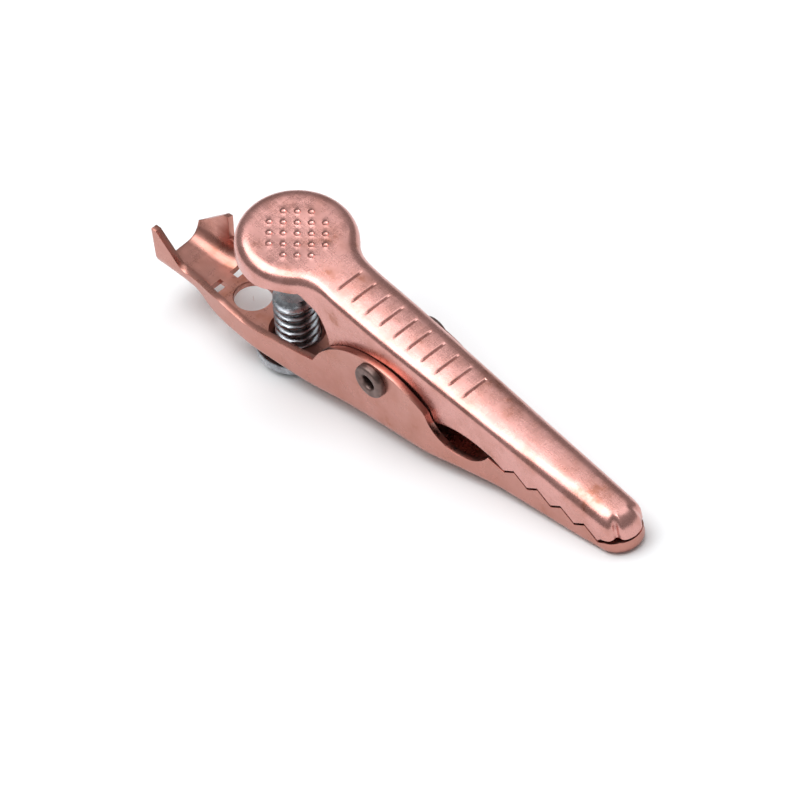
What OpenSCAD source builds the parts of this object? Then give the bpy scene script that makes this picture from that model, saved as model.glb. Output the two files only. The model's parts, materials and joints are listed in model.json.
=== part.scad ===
// Sheet-copper alligator test clip: two stamped jaws on a tubular rivet, closed by a torsion
// spring, with a crimp barrel, a wire hole and a screw terminal in the tail.
// +X points to the nose and +Z up. The clip lies on its screw head and its nose at z = 0.
// Side-view lengths are measured from the pivot, heights from the surface it lies on.

/* [Sheet] */
// Thickness of the copper sheet
sheet_t = 0.55; // [0.5:0.05:0.6]
// Side gap between the upper jaw's flanges and the lower jaw's ears
ear_gap = 0.06; // [0.05:0.01:0.1]

/* [Pivot] */
// Height of the pivot
pivot_z = 6.24; // [6.2:0.02:6.3]
// Radius of the rivet's shank
rivet_r = 1.0; // [0.9:0.05:1.1]
// Radius of the rivet's rolled ends
rivet_head_r = 1.46; // [1.36:0.02:1.5]
// Radius of the hole through the rivet
rivet_bore_r = 0.6; // [0.4:0.05:0.7]
// Radial running clearance of the rivet and of the screw
running_gap = 0.04; // [0.02:0.01:0.08]

/* [Teeth] */
// Angle of the tooth line, which runs from the pivot down to the nose
jaw_angle = 12.4; // [12:0.1:13]
// Number of teeth
tooth_count = 5; // [4:1:5]
// Distance from tooth to tooth
tooth_pitch = 2.4; // [2.3:0.05:2.4]
// Depth of a tooth
tooth_depth = 0.82; // [0.6:0.02:0.9]
// Distance from the pivot to the first tooth valley
first_valley = 12.9; // [12.8:0.05:13]
// Gap between the closed teeth
tooth_gap = 0.12; // [0.08:0.01:0.2]

/* [Upper jaw] */
// Radius of the thumb pad
pad_r = 4.8; // [4.6:0.05:5]
// Distance from the pivot back to the centre of the thumb pad
pad_back = 10.04; // [9.9:0.02:10.2]
// Height of the thumb pad's centre
pad_z = 13.54; // [13.4:0.02:13.7]
// Downward tilt of the thumb pad towards the nose
pad_tilt = 13.6; // [13:0.1:14]
// Depth of the thumb pad's rolled rim
pad_rim = 1.95; // [1.8:0.05:2.1]
// Height of the upper jaw's back above the pivot
back_rise = 4.36; // [4.3:0.02:4.5]
// Downward slope of the upper jaw's back
back_slope = 16.7; // [16:0.1:17]
// Half width of the upper jaw at the pivot
upper_half = 2.56; // [2.5:0.02:2.7]
// Half width of both jaws at the nose
nose_r = 1.9; // [1.8:0.05:2]
// Distance from the pivot to the tip of the nose
nose_reach = 24.8; // [24.6:0.05:25]
// Height of the upper lip's lower edge at the nose
upper_lip_z = 1.65; // [1.6:0.05:1.8]

/* [Lower jaw] */
// Height of the lower lip's top edge at the nose
lower_lip_z = 1.25; // [1.1:0.05:1.3]
// Height of the flat belly of the lower jaw
belly_z = 1.2; // [1.1:0.05:1.3]
// Radius of the arc over the ears
ear_arc_r = 8.2; // [8:0.1:8.4]
// Height of the low side walls beside the screw
wall_z = 4.55; // [4.4:0.05:4.7]
// Radius of the mouth behind the teeth
mouth_r = 3.3; // [3.1:0.1:3.4]

/* [Tail] */
// Distance from the pivot back to the end of the tail
tail_reach = 25.5; // [25.3:0.05:25.6]
// Upward slope of the tail floor towards its end
tail_slope = 8; // [7:0.5:9]
// Half width of the tail at its widest, beside the screw
tail_half = 3.67; // [3.5:0.02:3.8]
// Inside radius of the crimp barrel
barrel_r = 2.05; // [2:0.05:2.1]
// Distance from the pivot back to the front of the crimp barrel
barrel_front = 20.3; // [20.2:0.05:20.5]
// Height of the near crimp ear's tip
near_ear_z = 8.0; // [7.6:0.1:8.2]
// Height of the far crimp ear's tip above its bend
far_ear_h = 1.8; // [1.6:0.1:2]
// Outward lean of the far crimp ear
far_ear_lean = 14; // [5:1:20]
// Distance from the pivot back to the wire hole
hole_back = 17.62; // [17.5:0.02:17.8]
// Radius of the wire hole
hole_r = 1.5; // [1.4:0.05:1.6]

/* [Terminal screw] */
// Distance from the pivot back to the screw's axis, at the tail floor
screw_back = 12.7; // [12.6:0.05:12.8]
// Height of the tail floor's top face at the screw
screw_floor_z = 2.39; // [2.3:0.01:2.45]
// Outer radius of the thread
thread_r = 1.7526; // [1.7:0.01:1.8]
// Depth of the thread
thread_depth = 0.43; // [0.3:0.01:0.5]
// Distance from thread to thread
thread_pitch = 0.794; // [0.7:0.002:0.8]
// Number of turns of thread
thread_turns = 6.5; // [6:0.5:8]
// Radius of the screw's head
head_r = 3.4; // [3.3:0.05:3.5]
// Height of the head's cylindrical rim
head_rim = 0.6; // [0.5:0.05:0.7]
// Height of the head's dome below the rim
head_dome = 0.75; // [0.6:0.05:0.75]
// Height of the tapped collar below the tail floor
collar_h = 0.35; // [0.3:0.05:0.4]
// Radius of the collar's rounded entrance
collar_mouth_r = 2.25; // [2.1:0.05:2.4]

/* [Spring] */
// Diameter of the spring wire
wire_d = 0.6; // [0.5:0.05:0.65]
// Mean radius of the spring's coil
coil_r = 1.75; // [1.65:0.05:1.8]
// Number of whole turns in the coil
coil_turns = 4; // [3:1:4]
// Distance between the two legs across the clip
leg_spread = 2.9; // [2.8:0.05:3]
// Length of each spring leg
leg_len = 6.9; // [6.5:0.1:7]
// Upward angle of the leg under the upper jaw
upper_leg_angle = 29.6; // [29:0.1:29.8]
// Downward angle of the leg on the lower jaw
lower_leg_angle = 21.5; // [20:0.1:21.6]

/* [Hidden] */
$fn = 64;

copper = [0.80, 0.50, 0.42];
steel = [0.62, 0.64, 0.66];
dark_steel = [0.40, 0.34, 0.33];

eps = 0.01;
far = 40;
arc_steps = 10;
box_centre_x = (nose_reach - tail_reach) / 2;
nose_x = nose_reach - nose_r;
ear_half = upper_half + ear_gap + sheet_t;
barrel_half = barrel_r + sheet_t;
bore_r = thread_r + running_gap;

// Height of the tooth line at a distance in front of the pivot
function jaw_z(x) = pivot_z - x * tan(jaw_angle);
// Height of the upper jaw's back
function back_z(x) = pivot_z + back_rise - x * tan(back_slope);
// Height of the tail floor's top face
function floor_z(x) = screw_floor_z - (x + screw_back) * tan(tail_slope);
// Half width of the upper jaw, and of both tooth rows
function jaw_half(x) = upper_half + (nose_r - upper_half) * max(x, 0) / nose_x;
// Points along an arc in the side view
function arc(centre, r, from, to, steps = arc_steps) =
    [for (i = [0:steps]) let (a = from + (to - from) * i / steps) centre + r * [cos(a), sin(a)]];
// Zigzag of the teeth, from the first valley to the nose, raised by lift
function teeth(lift) =
    [for (i = [0:tooth_count * 2 - 2])
        let (x = first_valley + i * tooth_pitch / 2, side = i % 2 == 0 ? -1 : 1)
        [x, jaw_z(x) + side * tooth_depth / 2 + lift]];
function reversed(list) = [for (i = [len(list) - 1:-1:0]) list[i]];

// Places a side-view outline (x, z) as a plate from y = from to y = to
module side_plate(from, to) {
    translate([0, to, 0]) rotate([90, 0, 0]) linear_extrude(to - from) children();
}

// Moves to a point on the tail floor's top face, with Z square to the floor
module on_tail(back) {
    translate([-back, 0, floor_z(-back)]) rotate([0, tail_slope, 0]) children();
}

// ---- Upper jaw ----

// Plan of the upper jaw's body and nose, inset from its outer faces
module upper_plan(inset) {
    rear_x = -pad_back + 1.2;
    neck_x = -6.1;
    neck_flare = 1.1;
    union() {
        translate([nose_x, 0]) circle(nose_r - inset);
        polygon([
            [rear_x, -upper_half - neck_flare + inset],
            [neck_x, -upper_half + inset],
            [0, -upper_half + inset],
            [nose_x, -nose_r + inset],
            [nose_x, nose_r - inset],
            [0, upper_half - inset],
            [neck_x, upper_half - inset],
            [rear_x, upper_half + neck_flare - inset]
        ]);
    }
}

// Side view of the upper jaw's body, with teeth, mouth and the lobe round the pivot
module upper_side() {
    rear_x = -pad_back;
    rim_z = 11.3;
    mouth_end = 11.75;
    mouth_top_r = 7.86;
    mouth_top_centre = [8.1, -3.1];
    lobe_r = 2.9;
    flange_rear = [[-5.4, 6.0], [-5.45, 7.5], [-5.6, 8.3], [-5.9, 9.1], [-6.6, 9.9], [-7.4, 10.4],
                   [-8.8, rim_z]];
    polygon(concat(
        [[rear_x, back_z(rear_x)], [nose_reach, back_z(nose_reach)], [nose_reach, upper_lip_z],
         [nose_x, upper_lip_z]],
        reversed(teeth(tooth_gap)),
        [[mouth_end, jaw_z(mouth_end) + 0.3]],
        arc(mouth_top_centre, mouth_top_r, 67, 113),
        arc([0, pivot_z], lobe_r, -50, -130),
        flange_rear,
        [[rear_x, rim_z]]
    ));
}

// The thumb pad's disc, inset from its outer faces and open below
module pad_disc(inset, below) {
    translate([-pad_back, 0, pad_z]) rotate([0, pad_tilt, 0])
        translate([0, 0, -pad_rim - below]) cylinder(r = pad_r - inset, h = pad_rim + below - inset);
}

module upper_jaw() {
    color(copper) difference() {
        union() {
            pad_disc(0, 0);
            intersection() {
                linear_extrude(far) upper_plan(0);
                side_plate(-far, far) upper_side();
            }
        }
        pad_disc(sheet_t, eps);
        intersection() {
            translate([0, 0, -eps]) linear_extrude(far) upper_plan(sheet_t);
            translate([0, 0, -sheet_t / cos(back_slope)]) side_plate(-far, far)
                polygon([[-pad_back, back_z(-pad_back)], [nose_reach, back_z(nose_reach)],
                         [nose_reach, -far], [-pad_back, -far]]);
        }
        translate([0, 0, pivot_z]) rotate([90, 0, 0])
            cylinder(r = rivet_r + running_gap, h = far, center = true);
    }
}

// ---- Lower jaw ----

// Plan of the lower jaw in front of the barrel, inset from its outer faces
module lower_plan(inset) {
    outline = [[-barrel_front, barrel_half], [-18.9, tail_half - 0.53], [-17.2, tail_half - 0.24],
               [-14, tail_half], [-9.7, tail_half - 0.19], [-6.6, ear_half + 0.11], [-4, ear_half],
               [4.6, ear_half], [11.5, jaw_half(11.5)], [nose_x, nose_r]];
    union() {
        translate([nose_x, 0]) circle(nose_r - inset);
        polygon(concat(
            [for (p = outline) [p.x, p.y - inset]],
            [for (p = reversed(outline)) [p.x, inset - p.y]]
        ));
    }
}

// Lower edge of the side view from the barrel to the nose, raised by lift
function belly(lift) = [
    [-tail_reach, floor_z(-tail_reach) - sheet_t + lift],
    [-8.1, belly_z + lift], [-2, belly_z + lift], [8, belly_z - 0.45 + lift],
    [15.5, belly_z - 0.95 + lift], [nose_x - 3, lift], [nose_reach, lift]
];

// Side view of the lower jaw: belly, lip, teeth, mouth, ear and low tail wall
module lower_side() {
    ear_centre = [-0.4, -0.2];
    ear_rear = 134;
    ear_front = 45.5;
    mouth_centre = [8.8, 5.8];
    barrel_wall_z = 5;
    polygon(concat(
        belly(0),
        [[nose_reach, lower_lip_z], [nose_x + 0.3, lower_lip_z - 0.1]],
        reversed(teeth(0)),
        arc(mouth_centre, mouth_r, -41, -176),
        arc(ear_centre, ear_arc_r, ear_front, ear_rear),
        [[-7, wall_z], [-14, wall_z + 0.05], [-16.6, barrel_wall_z], [-tail_reach, barrel_wall_z]]
    ));
}

// Lengthwise prism of the crimp barrel's U section with the given radius
module barrel_prism(r, from, to) {
    on_tail(barrel_front) translate([0, 0, barrel_r]) rotate([0, -90, 0]) {
        translate([0, 0, from]) cylinder(r = r, h = to - from);
        translate([0, -r, from]) cube([far, 2 * r, to - from]);
    }
}

// Ear of the crimp barrel that stands at the end of the tail
module near_ear() {
    side_plate(-barrel_half, -barrel_r) polygon([
        [-tail_reach, 5], [-tail_reach + 0.25, near_ear_z], [-tail_reach + 0.75, near_ear_z - 0.1],
        [-22.3, 4.9], [-23, 4.6]
    ]);
}

// Ear of the crimp barrel that leans out in front of the first
module far_ear() {
    bend_z = 4.9;
    translate([0, barrel_half, bend_z]) rotate([-far_ear_lean, 0, 0])
        side_plate(-sheet_t, 0) polygon([
            [-tail_reach, -0.2], [-tail_reach, 0.1], [-22.75, far_ear_h], [-22.2, far_ear_h],
            [-22.2, -0.2]
        ]);
}

module lower_jaw() {
    relief_w = 0.9;
    relief_len = 1.2;
    relief_y = 1.1;
    funnel_depth = 0.4;
    hole_depth = 3;
    color(copper) difference() {
        union() {
            intersection() {
                union() {
                    difference() {
                        linear_extrude(far) lower_plan(0);
                        intersection() {
                            translate([0, 0, -eps]) linear_extrude(far) lower_plan(sheet_t);
                            side_plate(-far, far)
                                polygon(concat(belly(sheet_t), [[nose_reach, far], [-tail_reach, far]]));
                        }
                    }
                    difference() {
                        barrel_prism(barrel_half, -eps, far);
                        barrel_prism(barrel_r, -sheet_t, far);
                    }
                }
                side_plate(-far, far) lower_side();
            }
            near_ear();
            far_ear();
            on_tail(screw_back) translate([0, 0, -sheet_t - collar_h])
                cylinder(r = collar_mouth_r + 0.1, h = collar_h + sheet_t / 2);
        }
        for (side = [-1, 1])
            on_tail(barrel_front) translate([0, side * relief_y, 0])
                cube([relief_w, relief_len, hole_depth], center = true);
        on_tail(hole_back) cylinder(r = hole_r, h = hole_depth, center = true);
        on_tail(screw_back) {
            cylinder(r = bore_r, h = hole_depth, center = true);
            translate([0, 0, -funnel_depth])
                cylinder(r1 = bore_r, r2 = collar_mouth_r, h = funnel_depth + eps);
        }
        translate([0, 0, pivot_z]) rotate([90, 0, 0])
            cylinder(r = rivet_r + running_gap, h = far, center = true);
    }
}

// ---- Pivot rivet ----

// Half section of one rolled end, from the ear's outer face outwards
module rolled_end() {
    roll_r = (rivet_head_r - rivet_bore_r) / 2;
    translate([rivet_bore_r + roll_r, 0]) intersection() {
        circle(roll_r);
        translate([-far / 2, 0]) square(far);
    }
}

module pivot_rivet() {
    seat_gap = 0.02;
    seat = ear_half + seat_gap;
    color(dark_steel) translate([0, 0, pivot_z]) rotate([90, 0, 0]) rotate_extrude() {
        translate([rivet_bore_r, -seat - eps]) square([rivet_r - rivet_bore_r, 2 * (seat + eps)]);
        translate([0, seat]) rolled_end();
        translate([0, -seat]) mirror([0, 1]) rolled_end();
    }
}

// ---- Torsion spring ----

// Centre line of the wire: down the upper leg, round the coil and out along the lower leg
function spring_path() =
    let (
        from = 90 - upper_leg_angle,
        to = lower_leg_angle - 90 - 360 * coil_turns,
        steps = coil_turns * 16 + 8,
        half = leg_spread / 2,
        coil = [for (i = [0:steps]) let (a = from + (to - from) * i / steps)
            [coil_r * cos(a), half * (2 * i / steps - 1), coil_r * sin(a)]],
        upper_tip = coil[0] + leg_len * [-cos(upper_leg_angle), 0, sin(upper_leg_angle)],
        lower_tip = coil[steps] - leg_len * [cos(lower_leg_angle), 0, sin(lower_leg_angle)]
    )
    concat([upper_tip], coil, [lower_tip]);

// Round wire swept along a path that never runs along Y
module wire(path, r, sides = 10) {
    last = len(path) - 1;
    function unit(v) = v / norm(v);
    rings = [for (i = [0:last])
        let (
            along = unit(path[min(i + 1, last)] - path[max(i - 1, 0)]),
            across = unit(cross([0, 1, 0], along)),
            up = cross(along, across)
        )
        for (k = [0:sides - 1]) path[i] + r * (cos(360 * k / sides) * across + sin(360 * k / sides) * up)];
    skin = [for (i = [0:last - 1], k = [0:sides - 1])
        let (next = (k + 1) % sides)
        [i * sides + k, i * sides + next, (i + 1) * sides + next, (i + 1) * sides + k]];
    start_cap = [for (k = [sides - 1:-1:0]) k];
    end_cap = [for (k = [0:sides - 1]) last * sides + k];
    polyhedron(rings, concat([start_cap, end_cap], skin));
}

module torsion_spring() {
    color(steel) translate([0, 0, pivot_z]) wire(spring_path(), wire_d / 2);
}

// ---- Terminal screw ----

module terminal_screw() {
    seat_gap = 0.02;
    bearing = -sheet_t - collar_h - seat_gap;
    core_r = thread_r - thread_depth;
    thread_len = thread_turns * thread_pitch;
    crest = 0.1;
    slot_w = 1.0;
    slot_depth = 0.8;
    color(steel) on_tail(screw_back) translate([0, 0, bearing]) difference() {
        rotate_extrude() polygon(concat(
            [[0, -head_rim - head_dome]],
            [for (i = [1:arc_steps]) let (a = 90 * i / arc_steps)
                [head_r * sin(a), -head_rim - head_dome * cos(a)]],
            [[head_r, 0], [core_r, 0]],
            [for (i = [0:thread_turns - 1], s = [0:2])
                [s == 0 ? core_r : thread_r,
                 thread_pitch * (i + 0.5) + (s == 0 ? -thread_pitch / 2 + crest : (s - 1.5) * crest)]],
            [[core_r, thread_len], [0, thread_len]]
        ));
        translate([-far / 2, -slot_w / 2, -head_rim - head_dome - eps])
            cube([far, slot_w, slot_depth]);
    }
}

module placed() {
    translate([-box_centre_x, 0, 0]) children();
}

placed() upper_jaw();
placed() lower_jaw();
placed() pivot_rivet();
placed() torsion_spring();
placed() terminal_screw();
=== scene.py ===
"""Copper alligator test clip with a screw terminal in its tail.

Clip coordinates are millimetres: x from the pivot towards the nose, y across the clip and z above the
surface that it lies on. Side views and outlines are lists of (x, z) points.
"""

import json
import math

import bpy
import numpy as np
from mathutils import Matrix, Vector
from mathutils.geometry import delaunay_2d_cdt

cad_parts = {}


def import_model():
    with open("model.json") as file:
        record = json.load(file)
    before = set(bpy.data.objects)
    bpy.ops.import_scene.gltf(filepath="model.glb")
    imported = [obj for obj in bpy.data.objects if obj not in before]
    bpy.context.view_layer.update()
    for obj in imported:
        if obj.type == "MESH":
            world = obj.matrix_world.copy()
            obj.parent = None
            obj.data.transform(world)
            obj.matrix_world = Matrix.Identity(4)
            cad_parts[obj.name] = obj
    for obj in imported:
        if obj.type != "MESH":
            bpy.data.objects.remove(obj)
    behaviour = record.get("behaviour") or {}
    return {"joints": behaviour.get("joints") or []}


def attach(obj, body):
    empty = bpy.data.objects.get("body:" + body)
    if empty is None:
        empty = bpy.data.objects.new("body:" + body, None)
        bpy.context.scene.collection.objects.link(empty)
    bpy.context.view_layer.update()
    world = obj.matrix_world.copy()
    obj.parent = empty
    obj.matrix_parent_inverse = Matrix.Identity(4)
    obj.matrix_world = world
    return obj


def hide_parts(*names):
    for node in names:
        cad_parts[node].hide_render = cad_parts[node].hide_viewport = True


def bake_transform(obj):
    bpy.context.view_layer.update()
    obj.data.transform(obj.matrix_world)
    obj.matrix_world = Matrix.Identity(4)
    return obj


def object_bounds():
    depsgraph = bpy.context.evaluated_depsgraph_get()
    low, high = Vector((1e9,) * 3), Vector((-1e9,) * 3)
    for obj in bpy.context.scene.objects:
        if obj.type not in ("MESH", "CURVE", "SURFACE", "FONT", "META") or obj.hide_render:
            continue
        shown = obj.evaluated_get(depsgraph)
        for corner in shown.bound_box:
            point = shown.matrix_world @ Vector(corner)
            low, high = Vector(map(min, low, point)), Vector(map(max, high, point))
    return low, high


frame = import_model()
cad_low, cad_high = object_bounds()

MM = 0.001
JOINTS = {joint["name"]: joint for joint in frame["joints"]}
PIVOT_X, _, PIVOT_Z = [v / MM for v in JOINTS["jaw_hinge"]["pos_m"]]
NOSE_TIP = cad_high.x / MM - PIVOT_X
TAIL_END = cad_low.x / MM - PIVOT_X

# Sheet and tooth line
SHEET = 0.55
CUT_ROUND = 0.04
JAW_SLOPE = math.tan(math.radians(12.4))
TOOTH_DEPTH = 0.82
TOOTH_HALF_PITCH = 1.2
TOOTH_CORNERS = 9
FIRST_VALLEY = 12.9
TOOTH_GAP = 0.2

# Line of the upper jaw's back, above the pivot
BACK_RISE = 4.36
BACK_SLOPE = 0.3

# Both jaws in plan
NOSE_R = 1.9
NOSE_X = NOSE_TIP - NOSE_R
UPPER_HALF = 2.56
BARREL_HALF = 2.6
EAR_HALF = 3.17

# Thumb pad
PAD_R = 4.8
PAD_X = -10.04
PAD_Z = 13.54
PAD_TILT = math.radians(13.6)

# Pivot and spring
PIVOT_BORE_R = 1.04
SEAT_GAP = 0.02
SPRING_HALF = 1.45

# Tail
TAIL_SLOPE = math.radians(8)
BARREL_FRONT = -20.3
SCREW_X = -12.7
SCREW_FLOOR_Z = 2.39
WIRE_HOLE_X = -17.62
WIRE_HOLE_R = 1.5
SCREW_BORE_R = 1.79
COLLAR_HEIGHT = 0.35


# ---- Points and profiles ----

def smooth(start, end, value):
    """0 before start, 1 after end and a smooth step between them."""
    t = np.clip((np.asarray(value) - start) / (end - start), 0.0, 1.0)
    step = t * t * (3 - 2 * t)
    return step if np.ndim(step) else float(step)


def arc(centre, radius, start, end, spacing):
    """Points along an arc, from and to angles in degrees."""
    count = max(2, math.ceil(abs(math.radians(end - start)) * radius / spacing))
    angles = np.radians(np.linspace(start, end, count + 1))
    return [(centre[0] + radius * math.cos(a), centre[1] + radius * math.sin(a)) for a in angles]


def line(points, spacing):
    """Points along a polyline that keep its corners and stand at most spacing apart."""
    out = [tuple(points[0])]
    for start, end in zip(points, points[1:]):
        start, end = np.array(start, float), np.array(end, float)
        count = max(1, math.ceil(np.linalg.norm(end - start) / spacing))
        out += [tuple(start + (end - start) * k / count) for k in range(1, count + 1)]
    return out


def curve(points, spacing):
    """Points along a smooth curve through the given ones."""
    p = [np.array(q, float) for q in points]
    p = [2 * p[0] - p[1]] + p + [2 * p[-1] - p[-2]]
    out = [tuple(p[1])]
    for a, b, c, d in zip(p, p[1:], p[2:], p[3:]):
        count = max(1, math.ceil(np.linalg.norm(c - b) / spacing))
        for k in range(1, count + 1):
            t = k / count
            out.append(tuple(0.5 * (2 * b + (c - a) * t + (2 * a - 5 * b + 4 * c - d) * t * t
                                    + (3 * b - a - 3 * c + d) * t ** 3)))
    return out


def stations(edge, base_start, base_end):
    """(x, z, base x) for each point of a free edge. The base x is spread by length along the edge."""
    points = np.array(edge)
    lengths = np.concatenate([[0], np.cumsum(np.linalg.norm(np.diff(points, axis=0), axis=1))])
    share = lengths / lengths[-1]
    return [(x, z, base_start + (base_end - base_start) * s) for (x, z), s in zip(points, share)]


def upright(edge):
    """Stations whose columns stand straight up."""
    return [(x, z, x) for x, z in edge]


def chain(*runs):
    """Joins runs of stations, each of which starts where the last one ends."""
    joined = list(runs[0])
    for run in runs[1:]:
        joined += run[1:]
    return joined


def jaw_z(x):
    """Height of the tooth line."""
    return PIVOT_Z - x * JAW_SLOPE


def teeth(lift):
    """Corners of the zigzag from the first valley to the last tip."""
    corners = []
    for k in range(TOOTH_CORNERS):
        x = FIRST_VALLEY + k * TOOTH_HALF_PITCH
        side = -1 if k % 2 == 0 else 1
        corners.append((x, jaw_z(x) + side * TOOTH_DEPTH / 2 + lift))
    return corners


def softened(xs, values, x, reach):
    """A polyline with its corners averaged over a distance either side."""
    offsets = np.linspace(-reach, reach, 9)
    return float(np.mean(np.interp(x + offsets, xs, values)))


# ---- Mesh building ----

def to_model(points):
    return (np.asarray(points, float) + [PIVOT_X, 0, 0]) * MM


def point_normals(points, faces):
    normals = np.zeros_like(points)
    for face in faces:
        corners = points[list(face)]
        normal = np.cross(corners, np.roll(corners, -1, axis=0)).sum(axis=0)
        for v in face:
            normals[v] += normal
    return normals / np.linalg.norm(normals, axis=1)[:, None]


def object_from(name, points, faces):
    mesh = bpy.data.meshes.new(name)
    mesh.from_pydata(to_model(points).tolist(), [], [list(f) for f in faces])
    mesh.validate()
    mesh.update()
    piece = bpy.data.objects.new(name, mesh)
    bpy.context.scene.collection.objects.link(piece)
    return piece


def applied(piece):
    """Replaces a piece's mesh by what its modifiers make of it."""
    bpy.context.view_layer.update()
    evaluated = piece.evaluated_get(bpy.context.evaluated_depsgraph_get())
    mesh = bpy.data.meshes.new_from_object(evaluated)
    piece.modifiers.clear()
    piece.data = mesh
    return piece


def combine(piece, others, operation):
    """Cuts the others out of a piece, or adds them to it, and removes them."""
    for other in others:
        change = piece.modifiers.new("combine", "BOOLEAN")
        change.operation = operation
        change.solver = "EXACT"
        change.object = other
    applied(piece)
    for other in others:
        bpy.data.objects.remove(other)


def smooth_shading(piece, sharp_angle=32):
    piece.data.polygons.foreach_set("use_smooth", [True] * len(piece.data.polygons))
    piece.data.set_sharp_from_angle(angle=math.radians(sharp_angle))
    weighted = piece.modifiers.new("normals", "WEIGHTED_NORMAL")
    weighted.keep_sharp = True
    applied(piece)


def shell(name, points, faces, relief):
    """A sheet of even thickness inside an outer surface, with rounded cut edges.
    relief raises the outer surface only."""
    normals = point_normals(points, faces)
    count = len(points)
    outer = points + relief[:, None] * normals
    inner = points - SHEET * normals
    directed = {(a, b) for face in faces for a, b in zip(face, face[1:] + face[:1])}
    free = [(a, b) for a, b in directed if (b, a) not in directed]
    back_faces = [tuple(v + count for v in reversed(face)) for face in faces]
    rim_faces = [(b, a, a + count, b + count) for a, b in sorted(free)]
    piece = object_from(name, np.vstack([outer, inner]), faces + back_faces + rim_faces)
    rim_edges = {frozenset(pair) for a, b in free for pair in ((a, b), (a + count, b + count))}
    weights = piece.data.attributes.new("bevel_weight_edge", "FLOAT", "EDGE")
    weights.data.foreach_set("value", [float(frozenset(e.vertices) in rim_edges)
                                       for e in piece.data.edges])
    rounding = piece.modifiers.new("rounding", "BEVEL")
    rounding.limit_method = "WEIGHT"
    rounding.width = CUT_ROUND * MM
    rounding.segments = 2
    return applied(piece)


def sheet_faces(column_count, row_count, closed, flip):
    """Quads between neighbouring columns of points."""
    faces = []
    for i in range(column_count if closed else column_count - 1):
        nxt = (i + 1) % column_count
        for j in range(row_count - 1):
            quad = (i * row_count + j, i * row_count + j + 1, nxt * row_count + j + 1,
                    nxt * row_count + j)
            faces.append(quad[::-1] if flip else quad)
    return faces


def fill(ring, inside):
    """Triangles that fill a closed ring of plan points and use the points inside it."""
    ring_count = len(ring)
    plan = [Vector(p) for p in ring] + [Vector(p) for p in inside]
    out, _, triangles, origins, _, _ = delaunay_2d_cdt(plan, [], [list(range(ring_count))], 1, 1e-6)
    source = [o[0] if o else None for o in origins]
    assert None not in source and len(out) == len(source)
    return [tuple(source[v] for v in t) for t in triangles]


def keep_clear(points, others, distance):
    """The points that stand at least a distance from all the others."""
    others = np.array(others)
    return [p for p in points if np.min(np.hypot(*(others - p).T)) > distance]


def plan_grid(low, high, spacing):
    """Staggered points over a rectangle."""
    rows = np.arange(low[1], high[1], spacing * 0.866)
    return [(x + (spacing / 2 if k % 2 else 0), y)
            for k, y in enumerate(rows) for x in np.arange(low[0], high[0], spacing)]


def inside_ring(points, ring):
    """The points that lie inside a closed ring."""
    ring = np.array(ring)
    ax, ay = ring.T
    bx, by = np.roll(ring, -1, axis=0).T
    kept = []
    for x, y in points:
        crosses = (ay > y) != (by > y)
        at = ax + (y - ay) / np.where(by == ay, 1, by - ay) * (bx - ax)
        if np.count_nonzero(crosses & (x < at)) % 2:
            kept.append((x, y))
    return kept


def lathe(name, profile, sides, turn, place):
    """A closed solid of revolution about Z from (radius, height) points, then turned and placed."""
    rings = []
    for k in range(sides):
        a = 2 * math.pi * k / sides
        rings += [(r * math.cos(a), r * math.sin(a), h) for r, h in profile]
    n = len(profile)
    faces = [(k * n + j, (k + 1) % sides * n + j, (k + 1) % sides * n + (j + 1) % n,
              k * n + (j + 1) % n) for k in range(sides) for j in range(n)]
    points = np.array(rings) @ np.array(turn.to_3x3()).T + place
    return object_from(name, points, faces)


def rod(name, radius, length, turn, place, sides=64):
    """A plain cylinder along Z, centred on its place, for cutting."""
    rings = [(radius * math.cos(a), radius * math.sin(a), h) for h in (-length / 2, length / 2)
             for a in np.linspace(0, 2 * math.pi, sides, endpoint=False)]
    faces = [tuple(reversed(range(sides))), tuple(range(sides, 2 * sides))]
    faces += [(k, (k + 1) % sides, sides + (k + 1) % sides, sides + k) for k in range(sides)]
    points = np.array(rings) @ np.array(turn.to_3x3()).T + place
    return object_from(name, points, faces)


def box(name, size, offset, turn, place):
    """A block about an offset from the origin, then turned and placed, for cutting."""
    corners = [(x, y, z) for x in (-0.5, 0.5) for y in (-0.5, 0.5) for z in (-0.5, 0.5)]
    faces = [(0, 1, 3, 2), (4, 6, 7, 5), (0, 4, 5, 1), (2, 3, 7, 6), (0, 2, 6, 4), (1, 5, 7, 3)]
    points = (np.array(corners) * size + offset) @ np.array(turn.to_3x3()).T + place
    return object_from(name, points, faces)


ACROSS = Matrix.Rotation(math.radians(90), 4, "X")
TAIL_TURN = Matrix.Rotation(TAIL_SLOPE, 4, "Y")
PIVOT = np.array([0, 0, PIVOT_Z])


def tail_floor_z(x):
    """Height of the tail floor's top face."""
    return SCREW_FLOOR_Z - (x - SCREW_X) * math.tan(TAIL_SLOPE)


def on_tail(x):
    return np.array([x, 0, tail_floor_z(x)])


# ---- Upper jaw ----

CROWN = 0.032
NECK_ANGLE = 44
DIMPLE_PITCH = 1.056
DIMPLE_HALF = 0.25
DIMPLE_DEPTH = 0.1
DIMPLE_RIM = 0.012
BAR_HALF_LENGTH = 1.1
BAR_Y = -0.2
BAR_HALF_WIDTH = 0.12
BAR_DEPTH = 0.07
BAR_PITCH = 1.45
BAR_COUNT = 10
FIRST_BAR_X = -4.3
CREASE_ANGLE = 45


def back_z(x):
    """Height of the upper jaw's top line, where the pad runs into the sloping back."""
    pad = PAD_Z - math.tan(PAD_TILT) * (x - PAD_X)
    back = PIVOT_Z + BACK_RISE - BACK_SLOPE * x
    return pad + (back - pad) * smooth(-8.0, -3.5, x)


def top_z(x, y):
    """Height of the upper jaw's top face, which is crowned in front of the pad."""
    return back_z(x) - CROWN * y * y * smooth(-8, -3, x)


def upper_half(x):
    return UPPER_HALF + (NOSE_R - UPPER_HALF) * max(x, 0) / NOSE_X


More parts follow.
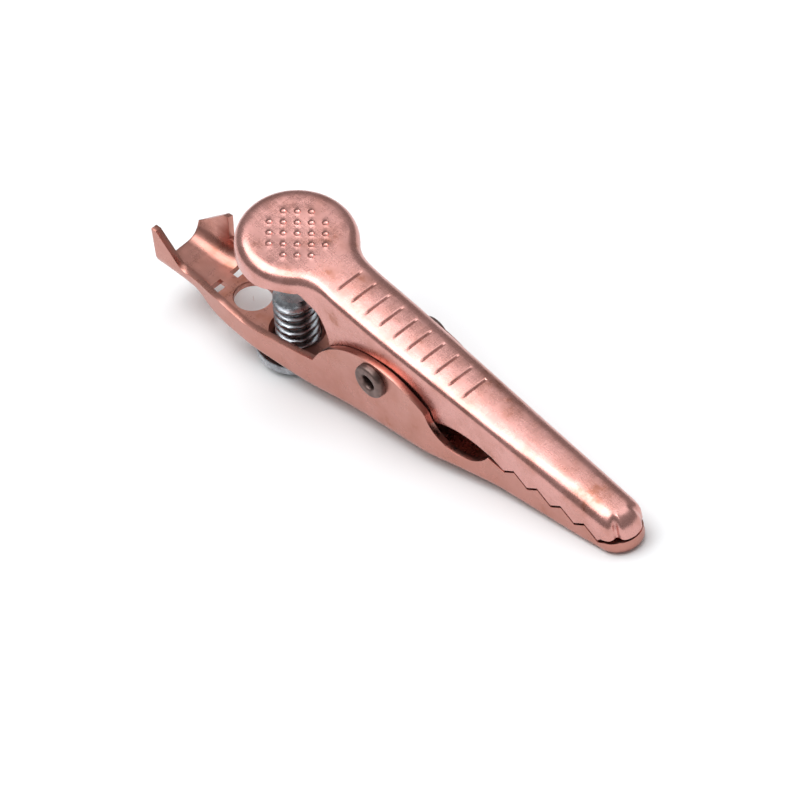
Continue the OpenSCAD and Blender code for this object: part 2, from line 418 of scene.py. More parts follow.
def edge_radius(x, side):
    """Outside radius of the bend between the top and the sides, from side -1 (near) to 1 (far)."""
    on_pad = 1.1
    on_back = 0.95 + 0.35 * side
    at_nose = 1.2
    radius = on_pad + (on_back - on_pad) * smooth(-8, -4, x)
    return radius + (at_nose - radius) * smooth(11, 21.5, x)


def pad_point(angle):
    """Plan point and outward normal on the thumb pad's edge."""
    a = math.radians(angle)
    along = PAD_R * math.cos(PAD_TILT)
    normal = Vector((math.cos(a) / along, math.sin(a) / PAD_R)).normalized()
    return Vector((PAD_X + along * math.cos(a), PAD_R * math.sin(a))), normal


def neck():
    """Centre and radius of the hollow between the pad and the straight side, tangent to both."""
    point, normal = pad_point(NECK_ANGLE)
    radius = (point.y - UPPER_HALF) / (1 - normal.y)
    return point + radius * normal, radius


NECK_CENTRE, NECK_R = neck()
NECK_START = pad_point(NECK_ANGLE)[0].x


def side_point(x):
    """Plan point and outward normal on the far side between the pad and the nose."""
    if x < NECK_CENTRE.x:
        y = NECK_CENTRE.y - math.sqrt(NECK_R ** 2 - (x - NECK_CENTRE.x) ** 2)
        point = Vector((x, y))
        return point, (NECK_CENTRE - point).normalized()
    slope = (UPPER_HALF - NOSE_R) / NOSE_X if x > 0 else 0
    return Vector((x, upper_half(x))), Vector((slope, 1)).normalized()


def upper_edge():
    """Stations along the upper jaw's free edge, from the pad's rim to the side of the nose."""
    rim_end = pad_rim_end()
    heel = (-5.4, 6.0)
    flange = curve([rim_end, (-6.65, 9.95), (-5.95, 9.1), (-5.6, 8.3), (-5.45, 7.5), heel], 0.28)
    lobe = arc((0, PIVOT_Z), 2.9, -130, -50, 0.4)
    mouth = arc((8.1, -3.1), 7.86, 113, 67, 0.35)
    mouth_end = (11.75, jaw_z(11.75) + 0.3)
    tips = teeth(TOOTH_GAP)
    lip = (NOSE_X, upper_lip(90))
    return chain(
        stations(flange, NECK_START, -3.3),
        stations(line([heel, lobe[0]], 0.5), -3.3, -1.86),
        upright(lobe),
        upright(line([lobe[-1], mouth[0]], 0.4)),
        upright(mouth),
        upright(line([mouth[-1], mouth_end, tips[0]], 0.35)),
        upright(line(tips + [lip], 0.3)),
    )


def pad_rim_depth(angle):
    """The rolled rim grows shallower towards the neck."""
    return 1.9 - 0.5 * smooth(90, 60, angle)


def pad_rim_end():
    """Side-view point where the pad's rim runs into the flange."""
    point, _ = pad_point(NECK_ANGLE)
    depth = pad_rim_depth(NECK_ANGLE)
    return point.x - depth * math.sin(PAD_TILT), back_z(point.x) - depth * math.cos(PAD_TILT)


def upper_lip(angle):
    """Height of the upper lip round the nose, arched over each crease."""
    return 1.4 + 0.22 * math.exp(-((abs(angle) - CREASE_ANGLE) / 25) ** 2)


def upper_columns(side):
    """Columns of points down one half of the skirt, from the pad's rear to the nose's tip.
    They are laid out on the far half and mirrored for the near one (side -1)."""
    bend_steps = 9
    skirt_rows = 12
    columns = []

    def add(point, normal, down, edge, on_side):
        radius = edge_radius(point.x, side * smooth(0, 1.5, point.y))
        sharp = Vector((point.x, point.y, top_z(point.x, point.y)))
        flat = point - radius * normal
        inset = Vector((flat.x, flat.y, top_z(flat.x, flat.y)))
        column = []
        for k in range(bend_steps):
            a = math.radians(90 * k / (bend_steps - 1))
            column.append(sharp + (1 - math.sin(a)) * (inset - sharp)
                          + radius * (1 - math.cos(a)) * down)
        foot = column[-1]
        end = Vector(edge)
        for k in range(1, skirt_rows + 1):
            p = foot.lerp(end, k / skirt_rows)
            if on_side:
                flare = max(point.y - upper_half(point.x), 0)
                p.y = upper_half(p.x) + flare * smooth(8.9, 10.3, p.z)
            column.append(p)
        columns.append(column)

    pad_down = Vector((-math.sin(PAD_TILT), 0, -math.cos(PAD_TILT)))
    straight_down = Vector((0, 0, -1))
    for angle in np.linspace(180, NECK_ANGLE, 50)[:-1]:
        point, normal = pad_point(angle)
        top = Vector((point.x, point.y, top_z(point.x, point.y)))
        add(point, normal, pad_down, top + pad_rim_depth(angle) * pad_down, False)
    for x, z, top_x in upper_edge():
        point, normal = side_point(top_x)
        down = pad_down.lerp(straight_down, float(smooth(NECK_START, -4.5, top_x))).normalized()
        add(point, normal, down, (x, point.y, z), True)
    # The columns stand closer together over the crease
    for angle in [*np.arange(87, 57, -3), *np.arange(56, 34, -1.5), *np.arange(33, -1, -3)]:
        a = math.radians(angle)
        normal = Vector((math.cos(a), math.sin(a)))
        point = Vector((NOSE_X, 0)) + NOSE_R * normal
        add(point, normal, straight_down, (point.x, point.y, upper_lip(angle)), False)
    return [[Vector((p.x, side * p.y, p.z)) for p in column] for column in columns]


def dimples():
    """Centres of the 21 dimples, 5 by 5 less the corners, and the directions of their rows."""
    a = math.radians(45)
    row, across = Vector((math.cos(a), math.sin(a))), Vector((-math.sin(a), math.cos(a)))
    return [Vector((PAD_X, 0)) + DIMPLE_PITCH * (i * row + j * across)
            for i in range(-2, 3) for j in range(-2, 3) if abs(i) + abs(j) < 4], row, across


def bars():
    """x of each plain engraved bar across the back."""
    return [FIRST_BAR_X + k * BAR_PITCH for k in range(BAR_COUNT)]


def top_points(ring):
    """Plan points inside the top face: a grid, closer round the dimples and the bars."""
    detail = []
    centres, _, _ = dimples()
    for c in centres:
        detail.append(tuple(c))
        for radius, count in ((0.1, 6), (0.18, 10), (0.23, 12), (0.28, 14), (0.36, 14)):
            for k in range(count):
                a = 2 * math.pi * k / count
                detail.append((c.x + radius * math.cos(a), c.y + radius * math.sin(a)))
    for x in bars():
        for y in np.linspace(-BAR_HALF_LENGTH - 0.15, BAR_HALF_LENGTH + 0.15, 19):
            detail += [(x + dx, BAR_Y + y) for dx in (-0.18, -0.12, -0.06, 0, 0.06, 0.12, 0.18)]
    detail = keep_clear(inside_ring(detail, ring), ring, 0.05)
    grid = plan_grid((-15, -4.8), (NOSE_TIP, 4.8), 0.4)
    grid = inside_ring(grid, ring)
    grid = keep_clear(grid, ring, 0.22)
    grid = keep_clear(grid, detail, 0.22)
    return detail + grid


def dimple_relief(x, y):
    """Square dimples, each with a slightly raised rim."""
    relief = np.zeros(len(x))
    centres, row, across = dimples()
    for c in centres:
        u = (x - c.x) * row.x + (y - c.y) * row.y
        v = (x - c.x) * across.x + (y - c.y) * across.y
        d = (np.abs(u) ** 3 + np.abs(v) ** 3) ** (1 / 3)
        relief -= DIMPLE_DEPTH * (1 - smooth(0.6 * DIMPLE_HALF, 1.1 * DIMPLE_HALF, d))
        relief += DIMPLE_RIM * smooth(0.36, 0.27, d) * smooth(0.2, 0.27, d)
    return relief


def bar_relief(x, y):
    """Plain engraved grip bars across the back."""
    relief = np.zeros(len(x))
    for bar_x in bars():
        fall = 1 - smooth(0, BAR_HALF_WIDTH, np.abs(x - bar_x))
        ends = 1 - smooth(BAR_HALF_LENGTH - 0.05, BAR_HALF_LENGTH + 0.1, np.abs(y - BAR_Y))
        relief -= BAR_DEPTH * fall * ends
    return relief


def crease_relief(x, y, z):
    """A crease down each side of the nose, sharp on the near side and shallow on the far side."""
    angle = np.degrees(np.arctan2(np.abs(y), x - NOSE_X))
    away = np.radians(angle - CREASE_ANGLE) * NOSE_R
    at_nose = (x > NOSE_X + 0.2) * smooth(3.5, 2.8, z)
    groove = np.where(y < 0, 0.32, 0.1) * np.exp(-(away / np.where(y < 0, 0.32, 0.4)) ** 2)
    lobes = 0.05 * np.exp(-((np.abs(away) - 0.6) / 0.3) ** 2)
    return -at_nose * (groove - lobes)


def upper_relief(points):
    """How far each point of the upper jaw's outside is pressed in or raised."""
    x, y, z = points.T
    on_top = z > [back_z(v) - 0.35 for v in x]
    dish = 0.05 * np.exp(-((x - PAD_X) ** 2 + (y + 0.6) ** 2) / 5.0)
    return on_top * (dimple_relief(x, y) + bar_relief(x, y) - dish) + crease_relief(x, y, z)


def upper_jaw_shell():
    columns = upper_columns(-1) + upper_columns(1)[-2:0:-1]
    rows = len(columns[0])
    skirt = np.array([p for column in columns for p in column])
    ring_indices = [i * rows for i in range(len(columns))]
    ring = [tuple(skirt[i][:2]) for i in ring_indices]
    inside = top_points(ring)
    triangles = fill(ring, inside)
    index = ring_indices + [len(skirt) + k for k in range(len(inside))]
    faces = sheet_faces(len(columns), rows, True, False)
    faces += [tuple(index[v] for v in t) for t in triangles]
    points = np.vstack([skirt, [(x, y, top_z(x, y)) for x, y in inside]])
    piece = shell("upper_jaw_shell", points, faces, upper_relief(points))
    combine(piece, [rod("bore", PIVOT_BORE_R, 12, ACROSS, PIVOT)], "DIFFERENCE")
    smooth_shading(piece)
    return piece


# ---- Lower jaw ----

PLAN_X = [-22.2, -20.7, -18.9, -17.2, -14.0, -9.7, -6.6, -4.0, 4.6, 11.5, NOSE_X]
PLAN_HALF = [BARREL_HALF, 2.71, 3.14, 3.43, 3.67, 3.48, 3.28, EAR_HALF, EAR_HALF, 2.23, NOSE_R]
BELLY_X = [TAIL_END, -8.1, -2.0, 8.0, 15.5, 20.0]
BELLY_Z = [tail_floor_z(TAIL_END) - SHEET, 1.2, 1.2, 0.75, 0.25, 0.0]
WALL_ROWS = 26
LEAN_START = 0.3


def lower_half(x):
    return softened(PLAN_X, PLAN_HALF, x, 0.8)


def belly_z(x):
    """Height of the lower jaw's underside."""
    return max(softened(BELLY_X, BELLY_Z, x, 1.0), 0.0)


def floor_radius(x, side):
    """Outside radius of the bend between the floor and the near or far wall (side -1 or 1)."""
    in_barrel = 2.1 if side > 0 else 1.5
    elsewhere = 0.8
    barrel = 1 - smooth(-21.6, -18.6, x)
    return float(elsewhere + (in_barrel - elsewhere) * barrel - 0.15 * smooth(16, 22, x))


def lower_lip(angle):
    """Height of the lower lip round the nose."""
    return 1.15 + 0.1 * smooth(80, 40, abs(angle))


def front_edge():
    """Stations shared by both sides, from the ear's rear corner to the side of the nose."""
    ear = arc((-0.4, -0.2), 8.2, 134, 45.5, 0.35)
    mouth = arc((8.8, 5.8), 3.3, 184, 319, 0.28)
    tips = teeth(0)
    lip = (NOSE_X + 0.3, lower_lip(81))
    return chain(
        stations(line([(-7.0, 4.55), ear[0]], 0.3), -7.0, -6.2),
        stations(ear, -6.2, 4.6),
        stations([ear[-1]] + mouth[1:], 4.6, mouth[-1][0]),
        upright(line([mouth[-1], tips[0]], 0.35)),
        upright(line(tips + [lip], 0.3)),
    )


def tail_wall():
    """Top edge of the low wall beside the screw and the wire hole, from the barrel to the ear."""
    return upright(line([(-22.2, 4.95), (-19.2, 5.04), (-17.5, 5.12), (-16.5, 4.95), (-14.5, 4.6),
                         (-13.4, 4.55), (-7.0, 4.55)], 0.45))


def near_edge():
    """Stations along the near wall's free edge, from the tail's end to the side of the nose."""
    ear = [(TAIL_END + 0.25, 7.85), (TAIL_END + 0.75, 7.8), (-22.7, 5.2), (-22.2, 4.95)]
    return chain(stations(line(ear, 0.3), TAIL_END + 0.05, -22.2), tail_wall(), front_edge())


def far_edge():
    """Stations along the far wall's free edge."""
    ear = [(TAIL_END, 5.0), (-22.75, 6.7), (-22.3, 6.7), (-22.1, 4.95)]
    rest = tail_wall()[1:]
    joint_x = rest[0][0]
    return chain(stations(line(ear, 0.25), TAIL_END, -22.1),
                 stations([(-22.1, 4.95), rest[0][:2]], -22.1, joint_x), rest, front_edge())


def wall_column(base_x, edge_x, edge_z, side):
    """Points from the floor round the bend and up to a free edge."""
    bottom = belly_z(base_x)
    radius = floor_radius(base_x, side)
    rise = edge_z - bottom
    bend = math.acos(max(1 - rise / radius, 0))
    length = radius * bend + max(rise - radius, 0)
    column = []
    for k in range(WALL_ROWS + 1):
        s = length * k / WALL_ROWS
        a = min(s / radius, bend)
        z = bottom + radius * (1 - math.cos(a)) + max(s - radius * bend, 0)
        lean = max(z - bottom - LEAN_START * rise, 0) / ((1 - LEAN_START) * rise)
        x = base_x + (edge_x - base_x) * lean
        y = lower_half(x) - radius * (1 - math.sin(a))
        column.append((x, side * y, z))
    return column


def nose_column(angle, edge_z):
    radius = floor_radius(NOSE_X, 1)
    length = radius * math.pi / 2 + max(edge_z - radius, 0)
    if edge_z < radius:
        length = radius * math.acos(1 - edge_z / radius)
    column = []
    for k in range(WALL_ROWS + 1):
        s = length * k / WALL_ROWS
        a = min(s / radius, math.pi / 2)
        z = radius * (1 - math.cos(a)) + max(s - radius * math.pi / 2, 0)
        out = NOSE_R - radius * (1 - math.sin(a))
        t = math.radians(angle)
        column.append((NOSE_X + out * math.cos(t), out * math.sin(t), z))
    return column


def lean_far_ear(points):
    """Bends the far crimp ear outwards above the barrel."""
    x, y, z = points.T
    rise = np.maximum(z - 4.75, 0)
    bent = (y > 0) & (x < -21.9)
    outward = np.where(bent, math.tan(math.radians(14)) * rise ** 2 / (rise + 0.25), 0)
    points[:, 1] += outward
    return points


def lower_jaw_shell():
    columns = []
    for x, z, base_x in near_edge():
        columns.append(wall_column(base_x, x, z, -1))
    for angle in range(-78, 79, 3):
        columns.append(nose_column(angle, float(lower_lip(angle))))
    for x, z, base_x in reversed(far_edge()):
        columns.append(wall_column(base_x, x, z, 1))
    rows = WALL_ROWS + 1
    walls = np.array([p for column in columns for p in column])
    ring_indices = [i * rows for i in range(len(columns))]
    ring = [tuple(walls[i][:2]) for i in ring_indices]
    grid = keep_clear(inside_ring(plan_grid((-26, -3), (NOSE_TIP, 3), 0.5), ring), ring, 0.3)
    triangles = fill(ring, grid)
    index = ring_indices + [len(walls) + k for k in range(len(grid))]
    faces = sheet_faces(len(columns), rows, False, True)
    faces += [tuple(index[v] for v in reversed(t)) for t in triangles]
    points = np.vstack([walls, [(x, y, belly_z(x)) for x, y in grid]])
    points = lean_far_ear(points)
    piece = shell("lower_jaw_shell", points, faces, np.zeros(len(points)))
    pierce_lower_jaw(piece)
    smooth_shading(piece)
    return piece


def pierce_lower_jaw(piece):
    """Adds the tapped collar and cuts the screw's bore, the wire hole, the slots and the pivot bores."""
    collar_r = 2.35
    collar_end = -SHEET - COLLAR_HEIGHT
    collar = lathe("collar", [(SCREW_BORE_R - 0.2, collar_end), (collar_r - 0.1, collar_end),
                              (collar_r, collar_end + 0.1), (collar_r, -SHEET - 0.05),
                              (collar_r + 0.15, -SHEET + 0.1), (SCREW_BORE_R - 0.2, -SHEET + 0.1)],
                   64, TAIL_TURN, on_tail(SCREW_X))
    combine(piece, [collar], "UNION")
    chamfer = 0.06
    hole = lathe("hole", [(0.01, -1.5), (WIRE_HOLE_R + 1, -1.5), (WIRE_HOLE_R + chamfer, -SHEET),
                          (WIRE_HOLE_R, -SHEET + chamfer), (WIRE_HOLE_R, -chamfer),
                          (WIRE_HOLE_R + chamfer, 0), (WIRE_HOLE_R + 1, 0.94), (0.01, 0.94)],
                 72, TAIL_TURN, on_tail(WIRE_HOLE_X))
    funnel = lathe("funnel", [(0.01, -2), (SCREW_BORE_R, -2), (SCREW_BORE_R, -0.4),
                              (SCREW_BORE_R + 0.12, -0.2), (2.25, 0), (2.5, 0.3), (0.01, 0.3)],
                   72, TAIL_TURN, on_tail(SCREW_X))
    slot_y = 1.1
    slots = [box("slot", (0.9, 1.2, 3), (0, side * slot_y, 0), TAIL_TURN, on_tail(BARREL_FRONT))
             for side in (-1, 1)]
    # The bore is turned a little, so that its facets meet no corner of the sheet
    bore = rod("bore", PIVOT_BORE_R, 12, ACROSS @ Matrix.Rotation(0.037, 4, "Z"), PIVOT)
    combine(piece, slots + [bore, hole, funnel], "DIFFERENCE")


# ---- Rivet, spring and screw ----

def pivot_rivet():
    """Tubular rivet with both ends rolled over."""
    shank_r, bore_r, ring_r = 1.0, 0.6, 1.46
    roll_r = (ring_r - bore_r) / 2
    seat = EAR_HALF + SEAT_GAP
    half = [(shank_r, 0.0), (shank_r, seat)]
    steps = 14
    for k in range(steps + 1):
        a = math.pi * k / steps
        bulge = math.copysign(abs(math.cos(a)) ** 0.6, math.cos(a))
        half.append((bore_r + roll_r + roll_r * bulge, seat + 0.54 * math.sin(a) ** 0.6))
    profile = half + [(r, -h) for r, h in reversed(half[1:])]
    piece = lathe("rivet", profile, 96, ACROSS, PIVOT)
    smooth_shading(piece, 40)
    return piece


def torsion_spring():
    """Spring wire: a leg under the upper jaw, the coil round the rivet and a leg on the lower jaw."""
    wire_r, coil_r, leg = 0.3, 1.75, 6.9
    upper_angle, lower_angle, turns = math.radians(29.6), math.radians(21.5), 4
    start = math.pi / 2 - upper_angle
    end = lower_angle - math.pi / 2 - 2 * math.pi * turns
    steps = turns * 40 + 20
    path = []
    for k in range(steps + 1):
        a = start + (end - start) * k / steps
        path.append((coil_r * math.cos(a), SPRING_HALF * (2 * k / steps - 1), coil_r * math.sin(a)))
    first, last = np.array(path[0]), np.array(path[-1])
    back_up = np.array([-math.cos(upper_angle), 0, math.sin(upper_angle)])
    back_down = -np.array([math.cos(lower_angle), 0, math.sin(lower_angle)])
    legs = np.linspace(1, 0, 14, endpoint=False)
    path = ([tuple(first + leg * t * back_up) for t in legs] + path
            + [tuple(last + leg * t * back_down) for t in reversed(legs)])
    path = np.array(path)
    sides = 16
    along = np.gradient(path, axis=0)
    along /= np.linalg.norm(along, axis=1)[:, None]
    across = np.cross([0, 1, 0], along)
    across /= np.linalg.norm(across, axis=1)[:, None]
    up = np.cross(along, across)
    angles = np.linspace(0, 2 * math.pi, sides, endpoint=False)

    def ring(k, scale, shift):
        centre = path[k] + shift * along[k]
        return [centre + wire_r * scale * (math.cos(a) * across[k] + math.sin(a) * up[k])
                for a in angles]

    rings = [ring(0, 0.7, -0.06)] + [ring(k, 1, 0) for k in range(len(path))] + [ring(-1, 0.7, 0.06)]
    points = np.array([p for r in rings for p in r]) + PIVOT
    faces = [(i * sides + k, i * sides + (k + 1) % sides, (i + 1) * sides + (k + 1) % sides,
              (i + 1) * sides + k) for i in range(len(rings) - 1) for k in range(sides)]
    faces += [tuple(reversed(range(sides))), tuple(range((len(rings) - 1) * sides, len(rings) * sides))]
    piece = object_from("spring_coil", points, faces)
    smooth_shading(piece, 50)
    return piece


def terminal_screw():
    """6-32 screw: a true helical thread with a chamfered tip over a slotted, domed head."""
    thread_r, depth, pitch, turns = 1.7526, 0.43, 0.794, 6.5
    head_r, rim, dome = 3.4, 0.6, 0.75
    bearing = -SHEET - COLLAR_HEIGHT - SEAT_GAP
    sides, rows_per_turn = 60, 14
    length = turns * pitch
    rows = int(turns * rows_per_turn)

    def radius(turn_share, height):
        """Radius of the thread at a share of a turn and a height above the bearing face."""
        phase = (height / pitch - turn_share) % 1.0
        groove = smooth(0.08, 0.44, abs(phase - 0.5))
        start_fade = smooth(0.0, 0.5 * pitch, height)
        tip_limit = thread_r - 0.42 + 0.9 * (length - height)
        return min(thread_r - depth * (1 - (1 - groove) * start_fade), tip_limit)

    points, faces = [], []
    for j in range(rows + 1):
        height = length * j / rows
        for k in range(sides):
            a = 2 * math.pi * k / sides
            r = radius(k / sides, height)
            points.append((r * math.cos(a), r * math.sin(a), height))
    head = [(1.9, 0.0), (head_r - 0.06, 0.0), (head_r, -0.06), (head_r, -rim)]
    head += [(head_r * math.cos(a), -rim - dome * math.sin(a))
             for a in np.linspace(0, math.pi / 2, 16)[1:-1]]
    head_start = len(points)
    for r, h in head:
        points += [(r * math.cos(2 * math.pi * k / sides), r * math.sin(2 * math.pi * k / sides), h)
                   for k in range(sides)]

    def band(low, high):
        """Quads between two rings of points, the first above the second."""
        return [(high + k, high + (k + 1) % sides, low + (k + 1) % sides, low + k)
                for k in range(sides)]

    for j in range(rows):
        faces += band((j + 1) * sides, j * sides)
    faces += band(0, head_start)
    for j in range(len(head) - 1):
        faces += band(head_start + j * sides, head_start + (j + 1) * sides)
    top, bottom = rows * sides, head_start + (len(head) - 1) * sides
    points += [(0, 0, length), (0, 0, -rim - dome)]
    tip, pole = len(points) - 2, len(points) - 1
    faces += [(top + k, top + (k + 1) % sides, tip) for k in range(sides)]
    faces += [(bottom + (k + 1) % sides, bottom + k, pole) for k in range(sides)]
    turned = (np.array(points) + [0, 0, bearing]) @ np.array(TAIL_TURN.to_3x3()).T + on_tail(SCREW_X)
    piece = object_from("screw", turned, faces)
    slot_turn = TAIL_TURN @ Matrix.Rotation(math.radians(35), 4, "Z")
    pole_place = on_tail(SCREW_X) + np.array(TAIL_TURN.to_3x3()) @ [0, 0, bearing - rim - dome]
    slot = box("slot", (9, 1.0, 1.6), (0, 0, 0), slot_turn, pole_place)
    combine(piece, [slot], "DIFFERENCE")
    smooth_shading(piece, 40)
    return piece


# ---- Materials ----

class Nodes:
    """Short calls for building a material's node tree."""

    def __init__(self, name):
        self.material = bpy.data.materials.new(name)
        self.material.use_nodes = True
        self.tree = self.material.node_tree
        self.shader = self.tree.nodes["Principled BSDF"]
        self.place = self.add("ShaderNodeTexCoord").outputs["Object"]

    def add(self, kind, **values):
        node = self.tree.nodes.new(kind)
        for key, value in values.items():
            setattr(node, key, value)
        return node

    def link(self, source, target):
        self.tree.links.new(source, target)

    def stretched(self, scale, turn=(0, 0, 0)):
        mapping = self.add("ShaderNodeMapping")
        mapping.inputs["Scale"].default_value = scale
        mapping.inputs["Rotation"].default_value = [math.radians(v) for v in turn]
        self.link(self.place, mapping.inputs["Vector"])
        return mapping.outputs["Vector"]

    def noise(self, size, detail=3.0, roughness=0.5, vector=None):
        """Noise whose features are about the given size in millimetres."""
        node = self.add("ShaderNodeTexNoise")
        node.inputs["Scale"].default_value = 1 / (size * MM)
        node.inputs["Detail"].default_value = detail
        node.inputs["Roughness"].default_value = roughness
        self.link(vector or self.place, node.inputs["Vector"])
        return node.outputs["Fac"]

    def ramp(self, value, stops):
        """A colour ramp through (position, colour) stops."""
        node = self.add("ShaderNodeValToRGB")
        elements = node.color_ramp.elements
        while len(elements) < len(stops):
            elements.new(0.5)
        for element, (position, colour) in zip(elements, stops):
            element.position = position
            element.color = (*colour, 1)
        self.link(value, node.inputs["Fac"])
        return node.outputs["Color"]

    def span(self, value, low, high, out_low, out_high):
        node = self.add("ShaderNodeMapRange")
        for key, number in (("From Min", low), ("From Max", high), ("To Min", out_low),
                            ("To Max", out_high)):
            node.inputs[key].default_value = number
        self.link(value, node.inputs["Value"])
        return node.outputs["Result"]

    def mix(self, amount, first, second):
        """Colour mix by a value that varies over the surface."""
        node = self.add("ShaderNodeMix", data_type="RGBA")
        self.link(amount, node.inputs["Factor"])
        self.link(first, node.inputs["A"])
        self.link(second, node.inputs["B"])
        return node.outputs["Result"]

    def math(self, operation, first, second):
        node = self.add("ShaderNodeMath", operation=operation)
        for socket, value in zip(node.inputs, (first, second)):
            if isinstance(value, float):
                socket.default_value = value
            else:
                self.link(value, socket)
        return node.outputs["Value"]

    def bump(self, height, strength, distance, normal=None):
        node = self.add("ShaderNodeBump")
        node.inputs["Strength"].default_value = strength
        node.inputs["Distance"].default_value = distance * MM
        self.link(height, node.inputs["Height"])
        if normal:
            self.link(normal, node.inputs["Normal"])
        return node.outputs["Normal"]


def copper(name, clean, tarnished, roughness):
    """Bare copper sheet: clean and tarnished patches, rolling marks, fine scratches and specks."""
    n = Nodes(name)
    n.shader.inputs["Metallic"].default_value = 1.0
    patches = n.span(n.noise(2.6, 4, 0.6), 0.42, 0.68, 0.0, 1.0)
    dull = tuple(0.55 * c + 0.45 * t for c, t in zip(clean, tarnished))
    base = n.ramp(patches, [(0.0, clean), (0.75, dull), (1.0, tarnished)])
    specks = n.span(n.noise(0.22, 2, 0.7), 0.70, 0.76, 0.0, 1.0)
    speck_colour = n.ramp(patches, [(0.0, dull), (1.0, tarnished)])
    n.link(n.mix(specks, base, speck_colour), n.shader.inputs["Base Color"])
    scratches = n.noise(0.5, 5, 0.75, n.stretched((0.06, 2.2, 1.0), (0, 0, 17)))
    cross = n.noise(0.6, 4, 0.75, n.stretched((2.0, 0.05, 1.0), (0, 0, -38)))
    marks = n.math("ADD", scratches, cross)
    rough = n.span(n.noise(1.4, 5, 0.65), 0.3, 0.75, roughness - 0.05, roughness + 0.08)
    rough = n.math("ADD", rough, n.span(marks, 0.95, 1.25, -0.02, 0.06))
    n.link(rough, n.shader.inputs["Roughness"])
    grain = n.bump(n.noise(0.09, 3, 0.6), 0.35, 0.004)
    scratched = n.bump(marks, 0.4, 0.012, grain)
    waves = n.bump(n.noise(3.2, 2, 0.5), 0.55, 0.05, scratched)
    n.link(waves, n.shader.inputs["Normal"])
    return n.material


def steel(name, bright, dark, roughness, patch_size):
    """Plated steel: mottled plating, dull spots and a fine grain."""
    n = Nodes(name)
    n.shader.inputs["Metallic"].default_value = 1.0
    patches = n.noise(patch_size, 4, 0.6)
    n.link(n.ramp(patches, [(0.35, bright), (0.7, dark)]), n.shader.inputs["Base Color"])
    n.link(n.span(n.noise(patch_size * 0.6, 4, 0.7), 0.3, 0.7, roughness - 0.07, roughness + 0.1),
           n.shader.inputs["Roughness"])
    grain = n.bump(n.noise(0.07, 3, 0.6), 0.4, 0.006)
    n.link(n.bump(n.noise(0.5, 3, 0.6), 0.4, 0.015, grain), n.shader.inputs["Normal"])
    return n.material


# ---- Stage ----

def area_light(name, place, aim, size, energy, colour=(1, 1, 1)):
    """A soft rectangular light. place and aim are in millimetres from the pivot's foot."""
    data = bpy.data.lights.new(name, "AREA")
    data.shape = "RECTANGLE"
    data.size, data.size_y = (v * MM for v in size)
    data.energy = energy
    data.color = colour
    light = bpy.data.objects.new(name, data)
    light.location = Vector(place) * MM
    light.rotation_mode = "QUATERNION"
    light.rotation_quaternion = (Vector(aim) * MM - light.location).to_track_quat("-Z", "Y")
    bpy.context.scene.collection.objects.link(light)


def camera():
    """A long-lens view of the near side from behind the pad's shoulder, rolled to set the clip aslant."""
    azimuth, elevation, roll = 35.02, 40.72, 12.4
    data = bpy.data.cameras.new("camera")
    distance, view_width = 1500, 60.65
    data.sensor_width = 36
    data.lens = data.sensor_width * distance / view_width
    data.clip_start, data.clip_end = 0.01, 20
    piece = bpy.data.objects.new("camera", data)
    a, e = math.radians(azimuth), math.radians(elevation)
    back = Vector((math.cos(a) * math.cos(e), -math.sin(a) * math.cos(e), math.sin(e)))
    right = Vector((math.sin(a), math.cos(a), 0))
    up = back.cross(right)
    r = math.radians(roll)
    rolled_right = math.cos(r) * right - math.sin(r) * up
    rolled_up = math.sin(r) * right + math.cos(r) * up
    axes = Matrix((rolled_right, rolled_up, back)).transposed().to_4x4()
    target = Vector(to_model((0.275, -1.247, 2.89)))
    piece.matrix_world = Matrix.Translation(target + back * distance * MM) @ axes
    bpy.context.scene.collection.objects.link(piece)
    bpy.context.scene.camera = piece


def floor():
    size = 4.0
    mesh = bpy.data.meshes.new("floor")
    mesh.from_pydata([(-size, -size, 0), (size, -size, 0), (size, size, 0), (-size, size, 0)], [],
                     [(0, 1, 2, 3)])
    piece = bpy.data.objects.new("floor", mesh)
    material = bpy.data.materials.new("pale_floor")
    material.use_nodes = True
    shader = material.node_tree.nodes["Principled BSDF"]
    shader.inputs["Base Color"].default_value = (0.95, 0.95, 0.95, 1)
    shader.inputs["Roughness"].default_value = 0.9
    shader.inputs["Specular IOR Level"].default_value = 0.0
    mesh.materials.append(material)
    bpy.context.scene.collection.objects.link(piece)


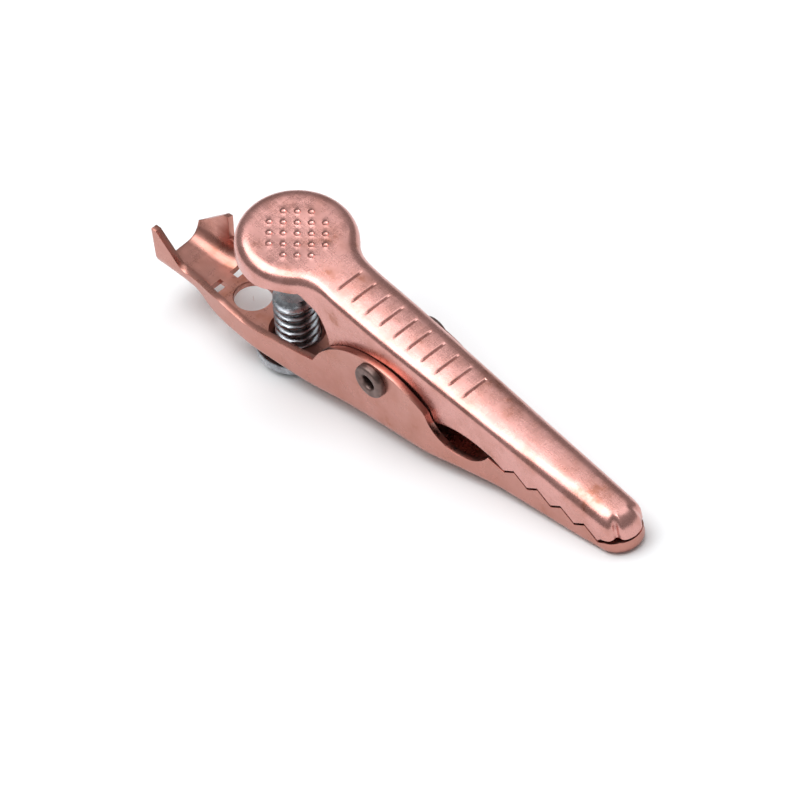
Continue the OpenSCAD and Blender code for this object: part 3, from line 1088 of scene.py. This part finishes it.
def world():
    """A studio that is bright overhead and dim at the horizon."""
    sky = bpy.data.worlds.new("studio")
    sky.use_nodes = True
    bpy.context.scene.world = sky
    tree = sky.node_tree
    place = tree.nodes.new("ShaderNodeTexCoord")
    split = tree.nodes.new("ShaderNodeSeparateXYZ")
    ramp = tree.nodes.new("ShaderNodeValToRGB")
    stops = [(0.0, 0.32), (0.55, 0.33), (0.80, 0.44), (1.0, 0.60)]
    while len(ramp.color_ramp.elements) < len(stops):
        ramp.color_ramp.elements.new(0.5)
    for element, (position, level) in zip(ramp.color_ramp.elements, stops):
        element.position = position
        element.color = (level, level, level, 1)
    tree.links.new(place.outputs["Generated"], split.inputs["Vector"])
    tree.links.new(split.outputs["Z"], ramp.inputs["Fac"])
    tree.links.new(ramp.outputs["Color"], tree.nodes["Background"].inputs["Color"])
    tree.nodes["Background"].inputs["Strength"].default_value = 1.0


def stage():
    world()
    floor()
    area_light("overhead", (-60, -60, 330), (0, 0, 0), (320, 316), 1.10, (0.96, 0.98, 1.0))
    area_light("far_side", (85, 185, 320), (0, 0, 0), (230, 150), 0.14, (0.92, 0.97, 1.0))
    bpy.context.scene.view_settings.view_transform = "Standard"


# ---- The clip ----

def dress(piece, material, node, body=None):
    piece.data.materials.clear()
    piece.data.materials.append(material)
    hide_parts(node)
    if body:
        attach(piece, body)


camera()
stage()
BRIGHT_COPPER = (0.66, 0.335, 0.30)
# The lower jaw uses the same copper painted darker: painted shade, because the lower jaw catches less
# light than the upper one
SHADED_COPPER = (0.52, 0.243, 0.20)
TARNISH = (0.44, 0.18, 0.13)
dress(upper_jaw_shell(), copper("upper_copper", BRIGHT_COPPER, TARNISH, 0.27), "upper_jaw",
      "upper")
dress(lower_jaw_shell(), copper("lower_copper", SHADED_COPPER, TARNISH, 0.30), "lower_jaw",
      "lower")
# The rivet's dark colour is partly its own dull tone and partly a painted reflection: the brown tint
# stands in for the copper round it
dress(pivot_rivet(), steel("rivet_steel", (0.22, 0.15, 0.135), (0.12, 0.08, 0.07), 0.42, 0.8),
      "pivot_rivet", "lower")
spring = torsion_spring()
dress(spring, steel("spring_steel", (0.5, 0.5, 0.52), (0.3, 0.29, 0.3), 0.3, 1.2),
      "torsion_spring")
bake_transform(spring)
dress(terminal_screw(), steel("screw_steel", (0.50, 0.53, 0.56), (0.22, 0.22, 0.24), 0.28, 1.0),
      "terminal_screw", "screw")
